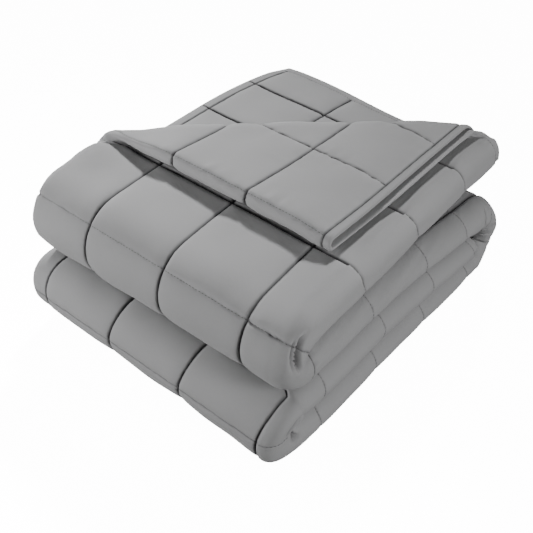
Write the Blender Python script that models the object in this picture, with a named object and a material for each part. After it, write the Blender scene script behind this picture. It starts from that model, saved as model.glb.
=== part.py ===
"""A weighted blanket: one quilted cloth with filled pockets, folded in four across its width into a
strip, folded in four again along its length into a pile, and with the back left corner of its two
top layers turned forward over a diagonal.

Run with blender --background --python part.py, or from the text editor. Metres, +Z up.
The side with the two round folds is -Y, and the side where the strip's own fold shows is +X.
"""

import math
from collections import namedtuple

import bmesh
import bpy
from mathutils import Vector

# Driving sizes
LEFT_X = -0.1915  # hems and the fold between the first and second layers
RIGHT_X = 0.1915  # the outer fold of the strip
NEAR_Y = {"BA": -0.2450, "CD": -0.2620}  # the upper and the lower round fold
FAR_Y = 0.2630  # the large round fold
TOP_END_Y = 0.2245  # hems of the strip's upper end
LAYER = 0.0120  # one filled layer of cloth, with the space that parts it from the next
GAP = 0.0012  # between one length of strip and the next
SLOT = 0.0008  # between two layers inside the strip
PITCH = 0.110  # side of one sewn pocket
SEAM_DEPTH = 0.0045  # how far a sewn line draws the cloth in
SEAM_REACH = 0.014  # how far from the line the pocket is full again
HEM = 0.020  # border outside the last sewn line
HEM_THICKNESS = 0.006
TURN_SPACE = 0.002  # under the turned corner
TIP_X = 0.1535  # where the corner's hem comes to lie

# How the pile has settled: its far right corner lies nearer, its left side stands
# higher than its right, the middle of its far side sinks, and the upper half of the
# far fold leans over to the near side
FAR_SKEW = 0.030
LEFT_RISE = 0.004
FAR_SINK = 0.018
SLUMP, SLUMP_DROP = 0.038, 0.003
CENTRE_X, CENTRE_Y = 0.0024, -0.0038  # the middle of the settled pile, which becomes the origin

STRIP = 4 * LAYER
STEP_UP = STRIP + GAP
FULL = (LAYER - SLOT) / 2
HEM_HALF = HEM_THICKNESS / 2
HEIGHTS = {name: (STRIP - SLOT) / 2 + i * STEP_UP for i, name in enumerate("DCBA")}
NEAR_CENTRE_Y = {name: y + STRIP + GAP / 2 for name, y in NEAR_Y.items()}
FAR_CENTRE_Y = FAR_Y - STRIP / 2 - STEP_UP
INNER_END_Y = FAR_CENTRE_Y - 0.001
RIGHT_CENTRE_X = RIGHT_X - 1.5 * LAYER - FULL
LEFT_CENTRE_X = LEFT_X + LAYER / 2 + FULL

# The cloth runs in one piece from layer d round the right fold to layer a, round the left fold to
# layer b, and round an inner right fold to layer c. These sewn lines run along the strip, where
# they are first met along X, besides the line of the hem.
FIRST_X = {"a": -0.096, "b": -0.069, "c": -0.0615, "d": -0.0605}
LINES_ACROSS = {"a": 3, "b": 3, "c": 2, "d": 3}

# The sewn lines across the strip, where they are first met along Y on each length. Layers a and d
# share the outer lines. Those of layers b and c show on the upper length only, where the corner is
# turned over and where it bares layer c.
Length = namedtuple("Length", "outer b c")
LENGTHS = {
    "C": Length([-0.165, -0.055, 0.055], [], []),
    "D": Length([-0.167, -0.057, 0.053, 0.163], [], []),
    "B": Length([-0.085, 0.025, 0.135], [], []),
    "A": Length([-0.107, 0.003, 0.113], [-0.121, -0.011, 0.099], [0.040, 0.141]),
}

# The same on the round folds, in degrees along the way round
TURNS = {"CD": (97,), "DB": (65, 151), "BA": (5, 135)}
TURN_STEP = 30  # between the rings of a round fold

# The turned corner lies over the line y = x + TURN_OFFSET
TURN_RADIUS = LAYER + TURN_SPACE / 2
TURN_LENGTH = math.pi * TURN_RADIUS
TURN_OFFSET = TOP_END_Y - TIP_X - TURN_LENGTH / math.sqrt(2)
TURN_CUTS = 5
MERGE = 1e-4  # points nearer than this are one
PAIR_Z = HEIGHTS["A"] + LAYER  # the plane between layers a and b
TOP_Z = HEIGHTS["A"] + STRIP / 2

ALL = ("outer", "b", "c")

# What the cloth does here and there: which lengths and folds move, round which place, how far off
# the move fades to nothing along X, Y and Z, and how far it goes
Move = namedtuple("Move", "what regions centre reach shift")
MOVES = [
    Move("the top stands higher in front", ("A", "BA", "B"),
         (-0.02, -0.15, 0.215), (0.40, 0.13, 0.07), (0, 0, 0.005)),
    Move("its left front is slimmer", ("A", "BA", "B"),
         (-0.20, -0.225, 0.185), (0.15, 0.07, 0.08), (0, 0.002, -0.002)),
    Move("the lower roll's left end swells", ("CD", "C", "D"),
         (-0.20, -0.25, 0.075), (0.07, 0.06, 0.05), (-0.006, 0, 0.002)),
    Move("its left end lies further back", ("CD", "C", "D"),
         (-0.25, -0.27, 0.0), (0.25, 0.10, 0.05), (0, 0.008, 0)),
    Move("its foot is drawn in", ("CD", "D"),
         (-0.01, -0.27, 0.010), (0.24, 0.07, 0.05), (0, 0.0045, 0)),
    Move("its right end comes nearer", ("CD", "C", "D"),
         (0.20, -0.27, 0.0), (0.10, 0.10, 0.06), (0.002, -0.006, 0)),
    Move("its right end is slimmer", ("CD", "C", "D"),
         (0.20, -0.235, 0.03), (0.05, 0.06, 0.08), (-0.007, 0, 0)),
    Move("its top slants to the right", ("CD",),
         (0.07, -0.22, 0.115), (0.32, 0.14, 0.090), (0.012, 0, 0)),
    Move("length A is narrower at the back", ("A",),
         (0.22, 0.22, 0.18), (0.16, 0.44, 0.10), (-0.013, 0, 0)),
    Move("length B is wider at the back", ("B", "DB", "C"),
         (0.22, 0.15, 0.10), (0.12, 0.22, 0.12), (0.010, 0, 0)),
    Move("length D is wider at the back", ("D", "DB"),
         (0.22, 0.10, 0.0), (0.12, 0.14, 0.06), (0.004, 0, 0)),
    Move("the far fold is rounded at its end", ("DB", "D"),
         (0.22, 0.235, 0.030), (0.06, 0.09, 0.08), (-0.010, -0.003, 0)),
    Move("its top stands up there", ("DB", "B"),
         (0.19, 0.17, 0.120), (0.13, 0.08, 0.06), (0.002, 0.002, 0.008)),
    Move("the bared layer lies higher", ("A", "B"),
         (-0.12, 0.12, 0.165), (0.42, 0.40, 0.055), (0, 0, 0.007)),
    Move("its far corner droops", ("A",),
         (-0.21, 0.24, 0.170), (0.06, 0.06, 0.05), (0.003, -0.002, -0.003)),
]
CLOTH_GREY = (0.33, 0.33, 0.335, 1)


def clear_scene():
    for obj in list(bpy.data.objects):
        bpy.data.objects.remove(obj, do_unlink=True)


def cloth_material():
    material = bpy.data.materials.new("grey cloth")
    material.use_nodes = True
    shader = material.node_tree.nodes["Principled BSDF"]
    shader.inputs["Base Color"].default_value = CLOTH_GREY
    shader.inputs["Roughness"].default_value = 0.9
    shader.inputs["Metallic"].default_value = 0
    return material


def around(lines, start, end):
    """Positions from start to end with three at each sewn line, and whether each lies on a line."""
    spots = {start: False, end: False}
    low, high = sorted((start, end))
    for line in lines:
        for shift in (-SEAM_REACH, 0, SEAM_REACH):
            if low < line + shift < high:
                spots[line + shift] = shift == 0
    return sorted(spots.items(), reverse=end < start)


def lines_across(layer):
    return [FIRST_X[layer] + i * PITCH for i in range(LINES_ACROSS[layer])]


def face_point(layer, x, level, drawn=False, hem=False):
    """One point of the cloth's good side, on a flat stretch of a layer."""
    out = 1 if layer in "ac" else -1
    return {"layer": layer, "at": (x, level * LAYER), "out": (0, out), "drawn": drawn, "hem": hem}


def arc_points(layer, centre, radius, start, end, steps, inward=False):
    """Points inside an arc of the section, without its two ends. Angles are in degrees from +X."""
    points = []
    for i in range(1, steps):
        angle = math.radians(start + (end - start) * i / steps)
        ray = (math.cos(angle), math.sin(angle))
        at = (centre[0] + radius * ray[0], centre[1] + radius * ray[1])
        out = (-ray[0], -ray[1]) if inward else ray
        points.append({"layer": layer, "at": at, "out": out, "drawn": False, "hem": False})
    return points


def hem_points(layer, level):
    edge = face_point(layer, LEFT_X, level, hem=True)
    line = face_point(layer, LEFT_X + HEM, level, drawn=True)
    return [edge, line]


def good_side():
    """The visible side of the cloth in the section, from the hem of layer d to that of layer c."""
    points = hem_points("d", -1.5)
    points += [
        face_point("d", x, -1.5, drawn)
        for x, drawn in around(lines_across("d"), LEFT_X + HEM + SEAM_REACH, RIGHT_CENTRE_X)
    ]
    points += arc_points("wrap", (RIGHT_CENTRE_X, 0), 1.5 * LAYER, -90, 90, 6)
    points += [
        face_point("a", x, 1.5, drawn)
        for x, drawn in around(lines_across("a"), RIGHT_CENTRE_X, LEFT_CENTRE_X)
    ]
    points += arc_points("a", (LEFT_CENTRE_X, LAYER), LAYER / 2, 90, 270, 4)
    points += [
        face_point("b", x, 0.5, drawn)
        for x, drawn in around(lines_across("b"), LEFT_CENTRE_X, RIGHT_CENTRE_X)
    ]
    points += arc_points("inner wrap", (RIGHT_CENTRE_X, 0), LAYER / 2, 90, -90, 2, inward=True)
    points += [
        face_point("c", x, -0.5, drawn)
        for x, drawn in around(lines_across("c"), RIGHT_CENTRE_X, LEFT_X + HEM + SEAM_REACH)
    ]
    return points + hem_points("c", -0.5)[::-1]


def back_side():
    """The hidden side of the cloth, which is plain, from the hem of layer c back to that of layer d."""
    points = hem_points("c", -0.5)
    points += [face_point("c", LEFT_X + HEM + SEAM_REACH, -0.5), face_point("c", RIGHT_CENTRE_X, -0.5)]
    points += arc_points("inner wrap", (RIGHT_CENTRE_X, 0), LAYER / 2, -90, 90, 2, inward=True)
    points += [face_point("b", RIGHT_CENTRE_X, 0.5), face_point("b", LEFT_CENTRE_X, 0.5)]
    points += arc_points("a", (LEFT_CENTRE_X, LAYER), LAYER / 2, 270, 90, 2)
    points += [face_point("a", LEFT_CENTRE_X, 1.5), face_point("a", RIGHT_CENTRE_X, 1.5)]
    points += arc_points("wrap", (RIGHT_CENTRE_X, 0), 1.5 * LAYER, 90, -90, 4)
    points += [face_point("d", RIGHT_CENTRE_X, -1.5), face_point("d", LEFT_X + HEM + SEAM_REACH, -1.5)]
    points += hem_points("d", -1.5)[::-1]
    for point in points:
        point["out"] = (-point["out"][0], -point["out"][1])
        point["plain"] = True
    return points


def ring(at, axis, drawn=(), hem=False):
    """A station along the strip, at (y, z), with the direction from its layer d to its layer a.

    drawn names the layers' families that are sewn across there.
    """
    return {"at": at, "axis": axis, "drawn": set(drawn), "hem": hem}


def length_rings(name, start, end, up):
    """Rings on one flat length of the strip. up is +1 where layer a is above layer d."""
    kinds = {}
    for family, lines in LENGTHS[name]._asdict().items():
        for y, drawn in around(lines, start, end):
            kinds.setdefault(round(y, 6), set()).update({family} if drawn else set())
    return [ring((y, HEIGHTS[name]), (0, up), kinds[y]) for y in sorted(kinds, reverse=end < start)]


def turn_rings(name, centre, radius, first_out, side):
    """Rings inside one round fold, from its lower or upper end to the other.

    first_out is the way out of the fold at its start, +1 for up, and side is +1 for the far side.
    Layer a lies outside in the fold BA, and inside in the others.
    """
    outside = 1 if name == "BA" else -1
    angles = {angle: False for angle in range(TURN_STEP // 2, 180, TURN_STEP)}
    for line in TURNS[name]:
        angles = {angle: False for angle in angles if abs(angle - line) > TURN_STEP / 3}
        angles[line] = True
    rings = []
    for angle in sorted(angles):
        turn = math.radians(angle)
        ray = (side * math.sin(turn), first_out * math.cos(turn))
        at = (centre[0] + radius * ray[0], centre[1] + radius * ray[1])
        rings.append(ring(at, (outside * ray[0], outside * ray[1]), ALL if angles[angle] else ()))
    return rings


def strip_rings():
    """The strip's way: in at C, round to D, round the far side to B, round to A and out at the top."""
    low = (HEIGHTS["C"] + HEIGHTS["D"]) / 2
    high = (HEIGHTS["A"] + HEIGHTS["B"]) / 2
    rings = [
        ring((INNER_END_Y, HEIGHTS["C"]), (0, -1), hem=True),
        ring((INNER_END_Y - HEM, HEIGHTS["C"]), (0, -1), ALL),
    ]
    rings += length_rings("C", INNER_END_Y - HEM - SEAM_REACH, NEAR_CENTRE_Y["CD"], -1)
    rings += turn_rings("CD", (NEAR_CENTRE_Y["CD"], low), STEP_UP / 2, 1, -1)
    rings += length_rings("D", NEAR_CENTRE_Y["CD"], FAR_CENTRE_Y, 1)
    rings += turn_rings("DB", (FAR_CENTRE_Y, HEIGHTS["C"]), STEP_UP, -1, 1)
    rings += length_rings("B", FAR_CENTRE_Y, NEAR_CENTRE_Y["BA"], -1)
    rings += turn_rings("BA", (NEAR_CENTRE_Y["BA"], high), STEP_UP / 2, -1, -1)
    rings += length_rings("A", NEAR_CENTRE_Y["BA"], TOP_END_Y - HEM - SEAM_REACH, 1)
    rings.append(ring((TOP_END_Y - HEM, HEIGHTS["A"]), (0, 1), ALL))
    rings.append(ring((TOP_END_Y, HEIGHTS["A"]), (0, 1), hem=True))
    return rings


def half_thickness(point, station):
    if station["hem"] or point["hem"]:
        return HEM_HALF
    if point.get("plain"):
        return FULL - SEAM_DEPTH / 2 if point["drawn"] else FULL
    family = {"b": "b", "inner wrap": "b", "c": "c"}.get(point["layer"], "outer")
    return FULL - SEAM_DEPTH if point["drawn"] or family in station["drawn"] else FULL


def place(point, station):
    half = half_thickness(point, station)
    x, n = (at + out * half for at, out in zip(point["at"], point["out"]))
    y, z = (at + axis * n for at, axis in zip(station["at"], station["axis"]))
    return Vector((x, y, z))


def end_faces(good, back):
    """Corners of the faces that close the cloth at an end, as numbers round the section.

    They run along the cloth, each from one point of the hidden side to the next.
    """
    last = len(good) + len(back) - 1
    meets = []
    for k, point in enumerate(reversed(back)):
        same = [j for j, other in enumerate(good) if other["layer"] == point["layer"]]
        meets.append((min(same, key=lambda j: math.dist(good[j]["at"], point["at"])), last - k))
    return [
        list(range(j, following + 1)) + [after, k]
        for (j, k), (following, after) in zip(meets[:-1], meets[1:])
    ]


def turn_share(point):
    """How far a point of the strip's own fold follows the turn: all the way at its top, not at all
    at its side and below."""
    if point.x <= RIGHT_CENTRE_X:
        return 1
    angle = math.atan2(point.z - HEIGHTS["A"], point.x - RIGHT_CENTRE_X)
    return min(max(angle / (math.pi / 2), 0), 1)


def turn_over(point):
    """Where a point of the two top layers comes to lie when their corner is turned over."""
    across = (point.y - point.x - TURN_OFFSET) / math.sqrt(2) * turn_share(point)
    if across <= 0:
        return point
    above = point.z - PAIR_Z
    if across < TURN_LENGTH:
        angle = across / TURN_RADIUS
        moved = (TURN_RADIUS - above) * math.sin(angle)
        z = PAIR_Z + TURN_RADIUS - (TURN_RADIUS - above) * math.cos(angle)
    else:
        moved = TURN_LENGTH - across
        z = PAIR_Z + 2 * TURN_RADIUS - above
    shift = (moved - across) / math.sqrt(2)
    return Vector((point.x - shift, point.y + shift, z))


def settle(point):
    """The pile as it lies: every move fades to nothing at the floor and at the near side."""
    across = (point.x - LEFT_X) / (RIGHT_X - LEFT_X)
    along = (point.y - NEAR_Y["CD"]) / (FAR_Y - NEAR_Y["CD"])
    height = min(point.z / TOP_Z, 1)
    y = point.y - FAR_SKEW * across * along**2
    rise = LEFT_RISE * (1 - 2 * across) * height**2
    sink = FAR_SINK * along**4 * math.sin(math.pi * height)
    z = point.z + rise - sink
    return Vector((point.x, y, z))


def region_of(point):
    """The length or the round fold that a point belongs to, before anything settles."""
    if point.z > HEIGHTS["B"] - STRIP / 2 and point.y < NEAR_CENTRE_Y["BA"]:
        return "BA"
    if point.z < HEIGHTS["C"] + STRIP / 2 and point.y < NEAR_CENTRE_Y["CD"]:
        return "CD"
    level = "DCBA"[min(int((point.z + GAP / 2) / STEP_UP), 3)]
    return "DB" if level != "A" and point.y > FAR_CENTRE_Y else level


def smooth(value, low, high):
    share = min(max((value - low) / (high - low), 0), 1)
    return share * share * (3 - 2 * share)


def slump(point, region):
    if region not in ("B", "DB", "C", "D"):
        return point
    across = min(max((point.x - LEFT_X) / (RIGHT_X - LEFT_X), 0), 1)
    amount = (0.4 + 0.6 * across) * smooth(point.z, 0.015, 0.125) * smooth(point.y, 0.0, 0.17)
    drop = SLUMP_DROP * amount * smooth(point.y, 0.10, 0.20)
    return Vector((point.x, point.y - SLUMP * amount, point.z - drop))


def lean(point, region):
    for move in MOVES:
        if region in move.regions:
            gap = [(at - centre) / reach for at, centre, reach in zip(point, move.centre, move.reach)]
            weight = max(1 - sum(part * part for part in gap), 0) ** 2
            point = point + weight * Vector(move.shift)
    return Vector((point.x, point.y, max(point.z, 0)))


def cut_along_turn(bm, turned):
    """Edges along the turn, so that it bends round."""
    for i in range(TURN_CUTS + 1):
        across = TURN_LENGTH * i / TURN_CUTS
        faces = [face for face in bm.faces if face[turned]]
        edges = list({edge for face in faces for edge in face.edges})
        verts = list({vert for face in faces for vert in face.verts})
        on_line = Vector((0, TURN_OFFSET + across * math.sqrt(2), 0))
        bmesh.ops.bisect_plane(
            bm, geom=verts + edges + faces, dist=MERGE, plane_co=on_line, plane_no=Vector((-1, 1, 0))
        )
    bmesh.ops.remove_doubles(bm, verts=bm.verts, dist=MERGE)


def blanket():
    good, back = good_side(), back_side()
    section = good + back
    rings = strip_rings()
    bm = bmesh.new()
    turned = bm.faces.layers.int.new("turned")
    grid = [[bm.verts.new(place(point, station)) for point in section] for station in rings]
    count = len(section)
    on_pair = [point["layer"] in "ab" for point in section]
    first_top = len(rings) - 1
    while rings[first_top - 1]["at"][1] == HEIGHTS["A"]:
        first_top -= 1
    for i in range(len(rings) - 1):
        for j in range(count):
            k = (j + 1) % count
            face = bm.faces.new((grid[i][j], grid[i][k], grid[i + 1][k], grid[i + 1][j]))
            face[turned] = int(i >= first_top and on_pair[j] and on_pair[k])
    for row in (grid[0], grid[-1]):
        for corners in end_faces(good, back):
            face = bm.faces.new([row[j] for j in corners])
            face[turned] = int(row is grid[-1] and all(on_pair[j] for j in corners))
    cut_along_turn(bm, turned)
    regions = {vert: region_of(vert.co) for vert in bm.verts}
    top_pair = {vert for face in bm.faces if face[turned] for vert in face.verts}
    for vert, region in regions.items():
        if vert in top_pair or (region == "A" and vert.co.x > RIGHT_CENTRE_X + MERGE):
            vert.co = turn_over(vert.co)
    for vert, region in regions.items():
        vert.co = lean(slump(settle(vert.co), region), region) - Vector((CENTRE_X, CENTRE_Y, 0))
    bmesh.ops.recalc_face_normals(bm, faces=bm.faces)
    bmesh.ops.triangulate(bm, faces=bm.faces)
    bmesh.ops.dissolve_degenerate(bm, dist=MERGE, edges=bm.edges)
    mesh = bpy.data.meshes.new("blanket")
    bm.to_mesh(mesh)
    bm.free()
    obj = bpy.data.objects.new("blanket", mesh)
    obj.data.materials.append(cloth_material())
    bpy.context.scene.collection.objects.link(obj)
    print(len(section), "points round the section,", len(rings), "rings,", len(mesh.polygons), "triangles")
    return obj


def main():
    clear_scene()
    blanket()


main()
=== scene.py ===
# %% [markdown]
# # A weighted blanket, folded and ready to store
# The real blanket is one quilted cloth: two faces of smooth woven cloth, sewn together in squares,
# with glass beads and a little wadding in each square. It is folded in four across its width into
# a strip, and the strip is folded in four along its length. One corner of the top is turned back.
# This lesson dresses the CAD model of it. The first cell loads that model as a fixed frame, and
# every length in the code is in metres in that frame.

# %% Load the frame
import math
from collections import namedtuple

import bmesh
import bpy
import numpy as np
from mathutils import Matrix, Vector
from mathutils.bvhtree import BVHTree


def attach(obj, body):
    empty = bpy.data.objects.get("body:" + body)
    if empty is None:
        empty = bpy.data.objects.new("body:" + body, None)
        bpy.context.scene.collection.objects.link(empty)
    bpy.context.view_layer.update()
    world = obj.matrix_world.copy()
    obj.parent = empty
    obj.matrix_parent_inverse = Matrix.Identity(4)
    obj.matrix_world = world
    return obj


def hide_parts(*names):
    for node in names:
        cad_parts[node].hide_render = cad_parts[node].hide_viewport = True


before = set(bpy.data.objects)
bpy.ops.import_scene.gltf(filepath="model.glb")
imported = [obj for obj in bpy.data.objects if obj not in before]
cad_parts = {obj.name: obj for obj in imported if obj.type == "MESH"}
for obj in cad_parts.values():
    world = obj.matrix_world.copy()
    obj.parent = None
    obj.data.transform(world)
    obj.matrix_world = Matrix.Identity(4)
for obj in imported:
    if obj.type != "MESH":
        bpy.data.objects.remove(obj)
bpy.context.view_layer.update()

# %% [markdown]
# ## Sizes
# These are the sizes that the CAD model was made from. The cloth is drawn again from them with
# far more points, because a seam a millimetre wide needs points a millimetre apart. Repeating the
# sizes keeps the finished cloth on the solid that it stands for.

# %% The sizes of the pile
LEFT_X, RIGHT_X = -0.1915, 0.1915
NEAR_Y = {"BA": -0.2450, "CD": -0.2620}
FAR_Y, TOP_END_Y = 0.2630, 0.2245
LAYER, GAP, SLOT = 0.0120, 0.0012, 0.0008
HEM = 0.017  # at the strip's two ends
SIDE_HEMS = {"d": 0.0260, "c": 0.0155}  # along the strip, on the layers with free edges
TURN_SPACE, TIP_X = 0.002, 0.1535

STRIP = 4 * LAYER
STEP_UP = STRIP + GAP
FULL = (LAYER - SLOT) / 2
HEIGHTS = {name: (STRIP - SLOT) / 2 + i * STEP_UP for i, name in enumerate("DCBA")}
NEAR_CENTRE_Y = {name: y + STRIP + GAP / 2 for name, y in NEAR_Y.items()}
FAR_CENTRE_Y = FAR_Y - STRIP / 2 - STEP_UP
INNER_END_Y = FAR_CENTRE_Y - 0.001
RIGHT_CENTRE_X = RIGHT_X - 1.5 * LAYER - FULL
LEFT_CENTRE_X = LEFT_X + LAYER / 2 + FULL
TOP_Z = HEIGHTS["A"] + STRIP / 2


def mm(length):
    return round(float(length) * 1000, 1)


print("pile", mm(RIGHT_X - LEFT_X), mm(FAR_Y - NEAR_Y["CD"]), mm(TOP_Z), "mm, one layer", mm(LAYER), "mm")

# %% [markdown]
# ## Where the cloth is sewn
# The sewn lines are what the eye reads first, so they get points of their own. A helper spreads
# points between two ends and crowds them near each line, where the cloth dives into the seam.

# %% Points that crowd near the sewn lines
NEAR_LINE = (0.0006, 0.0013, 0.0026, 0.0046, 0.0080, 0.0130)
NEAR_CREASE = (0.0015, 0.0032, 0.0055)
NEAR_EDGE = (0.0006, 0.0016, 0.0035)
STEP_ACROSS, STEP_ALONG = 0.0046, 0.0072


def spread(start, end, lines, step, creases=(), edges=()):
    """Positions from start to end, crowded near the marks, and whether each one is on a sewn line."""
    low, high = min(start, end), max(start, end)
    spots = {round(line, 6): True for line in lines if low <= line <= high}
    for spot in (low, high):
        spots.setdefault(round(spot, 6), False)
    for marks, near in ((lines, NEAR_LINE), (creases, (0,) + NEAR_CREASE), (edges, NEAR_EDGE)):
        for mark in marks:
            for offset in near:
                for spot in (mark - offset, mark + offset):
                    clear = all(abs(spot - other) >= min(offset, 0.0013) - 1e-6 for other in spots)
                    if low + 3e-4 < spot < high - 3e-4 and clear:
                        spots.setdefault(round(spot, 6), False)
    places = sorted(spots)
    for a, b in zip(places[:-1], places[1:]):
        parts = max(1, round((b - a) / step))
        for i in range(1, parts):
            spots.setdefault(round(a + (b - a) * i / parts, 6), False)
    found = sorted(spots.items(), reverse=end < start)
    return [p for p, _ in found], [on for _, on in found]


print("points over one pocket:", len(spread(0, 0.110, [0, 0.110], STEP_ACROSS)[0]))

# %% The cloth across the strip, from one free hem to the other
X_LINES = {
    "d": [LEFT_X + SIDE_HEMS["d"], -0.0555, 0.0540, 0.1655],
    "a": [-0.0915, 0.0215, 0.1330],
    "b": [-0.0655, 0.0500, 0.1510],
    "c": [LEFT_X + SIDE_HEMS["c"], -0.0500, 0.0600],
}
LEFT_FOLD_LINE = 231  # degrees: the turned corner shows a line close to its front edge
columns = {key: [] for key in ("layer", "x", "n", "out_x", "out_n", "line")}


def add_row(table, *values):
    for key, value in zip(table, values):
        table[key].append(value)


def add_flat(layer, start, end, level):
    out = 1 if layer in "ac" else -1
    for x, line in zip(*spread(start, end, X_LINES[layer], STEP_ACROSS, edges=(LEFT_X,))):
        add_row(columns, layer, x, level * LAYER, 0, out, line)


def add_arc(layer, centre_x, centre_n, radius, start, end, step, inward=False, line=None):
    """Columns round a fold, a step apart on its outer face, with a sewn line at an angle."""
    outer = radius + (0 if inward else FULL)
    lines = [] if line is None else [math.radians(abs(line - start)) * outer]
    arc_places, on_line = spread(0, math.radians(abs(end - start)) * outer, lines, step)
    for place, on in list(zip(arc_places, on_line))[1:-1]:
        angle = math.radians(start) + math.copysign(place / outer, end - start)
        ray = (math.cos(angle), math.sin(angle))
        sign = -1 if inward else 1
        place_x, place_n = centre_x + radius * ray[0], centre_n + radius * ray[1]
        add_row(columns, layer, place_x, place_n, sign * ray[0], sign * ray[1], on)


add_flat("d", LEFT_X, RIGHT_CENTRE_X, -1.5)
add_arc("wrap", RIGHT_CENTRE_X, 0, 1.5 * LAYER, -90, 90, 0.0017)
add_flat("a", RIGHT_CENTRE_X, LEFT_CENTRE_X, 1.5)
add_arc("left fold", LEFT_CENTRE_X, LAYER, LAYER / 2, 90, 270, 0.0026, line=LEFT_FOLD_LINE)
add_flat("b", LEFT_CENTRE_X, RIGHT_CENTRE_X, 0.5)
add_arc("inner fold", RIGHT_CENTRE_X, 0, LAYER / 2, 90, -90, 0.0032, inward=True)
add_flat("c", RIGHT_CENTRE_X, LEFT_X, -0.5)

layer_of = np.array(columns["layer"])
col = {key: np.array(columns[key], float) for key in ("x", "n", "out_x", "out_n")}
col_line = np.array(columns["line"])
u = np.concatenate([[0], np.cumsum(np.hypot(np.diff(col["x"]), np.diff(col["n"])))])
print(len(u), "points across, cloth", round(float(u[-1]), 3), "m wide")

# %% [markdown]
# ## The way of the strip
# The strip starts inside the pile at length C, turns on the near side to length D on the floor,
# goes round the far side and over C as length B, turns on the near side again, and ends on top as
# length A. Each station on that way holds its place and the direction from layer d to layer a.

# %% The stations along the strip
Lines = namedtuple("Lines", "outer b c")  # layers a and d, layer b, layer c
TOP_HEM_LINE = TOP_END_Y - HEM
Y_LINES = {
    "C": Lines(*[[-0.176, -0.060, 0.050, INNER_END_Y - HEM]] * 3),
    "D": Lines(*[[-0.180, -0.070, 0.040, 0.160]] * 3),
    "B": Lines(*[[-0.093, 0.020, 0.146]] * 3),
    "A": Lines(
        [-0.114, 0.001, 0.122, TOP_HEM_LINE],
        [-0.121, -0.004, 0.105, TOP_HEM_LINE],
        [0.049, 0.146, TOP_HEM_LINE],
    ),
}
TURN_LINES = {"CD": [85], "DB": [65, 151], "BA": [5, 135]}  # degrees along the way round
TURN_CREASES = {"CD": [], "DB": [52, 62, 76, 100, 125, 168], "BA": []}  # where the pleats come
stations = {key: [] for key in ("region", "y", "z", "ay", "az", "turn", "outer", "b", "c")}


def add_length(region, start, end, up):
    families = Y_LINES[region]
    lines = sorted({line for family in families for line in family})
    places, _ = spread(start, end, lines, STEP_ALONG, edges=(INNER_END_Y, TOP_END_Y))
    for y in places:
        on = [any(abs(y - line) < 1e-6 for line in family) for family in families]
        add_row(stations, region, y, HEIGHTS[region], 0, up, -1, *on)


def add_turn(region, centre_y, centre_z, radius, first_out, side):
    outer = radius + STRIP / 2
    marks = (TURN_LINES[region], TURN_CREASES[region])
    lines, creases = ([math.radians(at) * outer for at in group] for group in marks)
    outside = 1 if region == "BA" else -1
    for arc, on in list(zip(*spread(0, math.pi * outer, lines, STEP_ALONG, creases)))[1:-1]:
        ray = (side * math.sin(arc / outer), first_out * math.cos(arc / outer))
        place = (centre_y + radius * ray[0], centre_z + radius * ray[1])
        way = (outside * ray[0], outside * ray[1])
        add_row(stations, region, *place, *way, math.degrees(arc / outer), on, on, on)


low = (HEIGHTS["C"] + HEIGHTS["D"]) / 2
high = (HEIGHTS["A"] + HEIGHTS["B"]) / 2
add_length("C", INNER_END_Y, NEAR_CENTRE_Y["CD"], -1)
add_turn("CD", NEAR_CENTRE_Y["CD"], low, STEP_UP / 2, 1, -1)
add_length("D", NEAR_CENTRE_Y["CD"], FAR_CENTRE_Y, 1)
add_turn("DB", FAR_CENTRE_Y, HEIGHTS["C"], STEP_UP, -1, 1)
add_length("B", FAR_CENTRE_Y, NEAR_CENTRE_Y["BA"], -1)
add_turn("BA", NEAR_CENTRE_Y["BA"], high, STEP_UP / 2, -1, -1)
add_length("A", NEAR_CENTRE_Y["BA"], TOP_END_Y, 1)

region_of = np.array(stations["region"])
sta = {key: np.array(stations[key], float) for key in ("y", "z", "ay", "az", "turn")}
sta_line = {key: np.array(stations[key]) for key in ("outer", "b", "c")}
v = np.concatenate([[0], np.cumsum(np.hypot(np.diff(sta["y"]), np.diff(sta["z"])))])
print(len(v), "stations, strip", round(float(v[-1]), 3), "m long")

# %% [markdown]
# ## Pockets
# Each square is a flat pocket: its two faces meet at the sewn lines and stand apart between them.
# The thickness at a point depends on how far it is from the nearest line across and along. That
# distance is measured on the cloth, so it is found on a plain grid before any fold is made.

# %% How far each point is from the sewn lines
M, N = len(u), len(v)


def base_points(half):
    """The cloth's points at the given distance from its middle surface, before it settles."""
    x = col["x"][None, :] + col["out_x"][None, :] * half
    n = col["n"][None, :] + col["out_n"][None, :] * half
    y = sta["y"][:, None] + sta["ay"][:, None] * n
    z = sta["z"][:, None] + sta["az"][:, None] * n
    return np.stack([np.broadcast_to(x, y.shape), y, z], axis=-1)


surface = base_points(np.full((N, M), FULL))
along = np.zeros((N, M))
along[1:] = np.cumsum(np.linalg.norm(np.diff(surface, axis=0), axis=2), axis=0)
FAMILY = {"b": "b", "left fold": "b", "inner fold": "b", "c": "c"}
family_of = np.array([FAMILY.get(name, "outer") for name in layer_of])


def from_nearest(values, marks):
    """Distance along axis 0 from the nearest mark to each value, and that mark's number."""
    gaps = values[:, None] - marks[None]
    nearest = np.abs(gaps).argmin(axis=1)
    return np.take_along_axis(gaps, nearest[:, None], axis=1)[:, 0], nearest


gap_u, line_u_number = from_nearest(u, u[col_line])
from_u = np.broadcast_to(gap_u[None, :], (N, M))
from_v, line_v = np.zeros((N, M)), np.zeros((N, M), int)
for family in ("outer", "b", "c"):
    chosen = family_of == family
    marks = along[np.ix_(sta_line[family], chosen)]
    from_v[:, chosen], line_v[:, chosen] = from_nearest(along[:, chosen], marks)
to_u, to_v = np.abs(from_u), np.abs(from_v)
print("furthest from a line:", mm(to_u.max()), "and", mm(to_v.max()), "mm")

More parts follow.
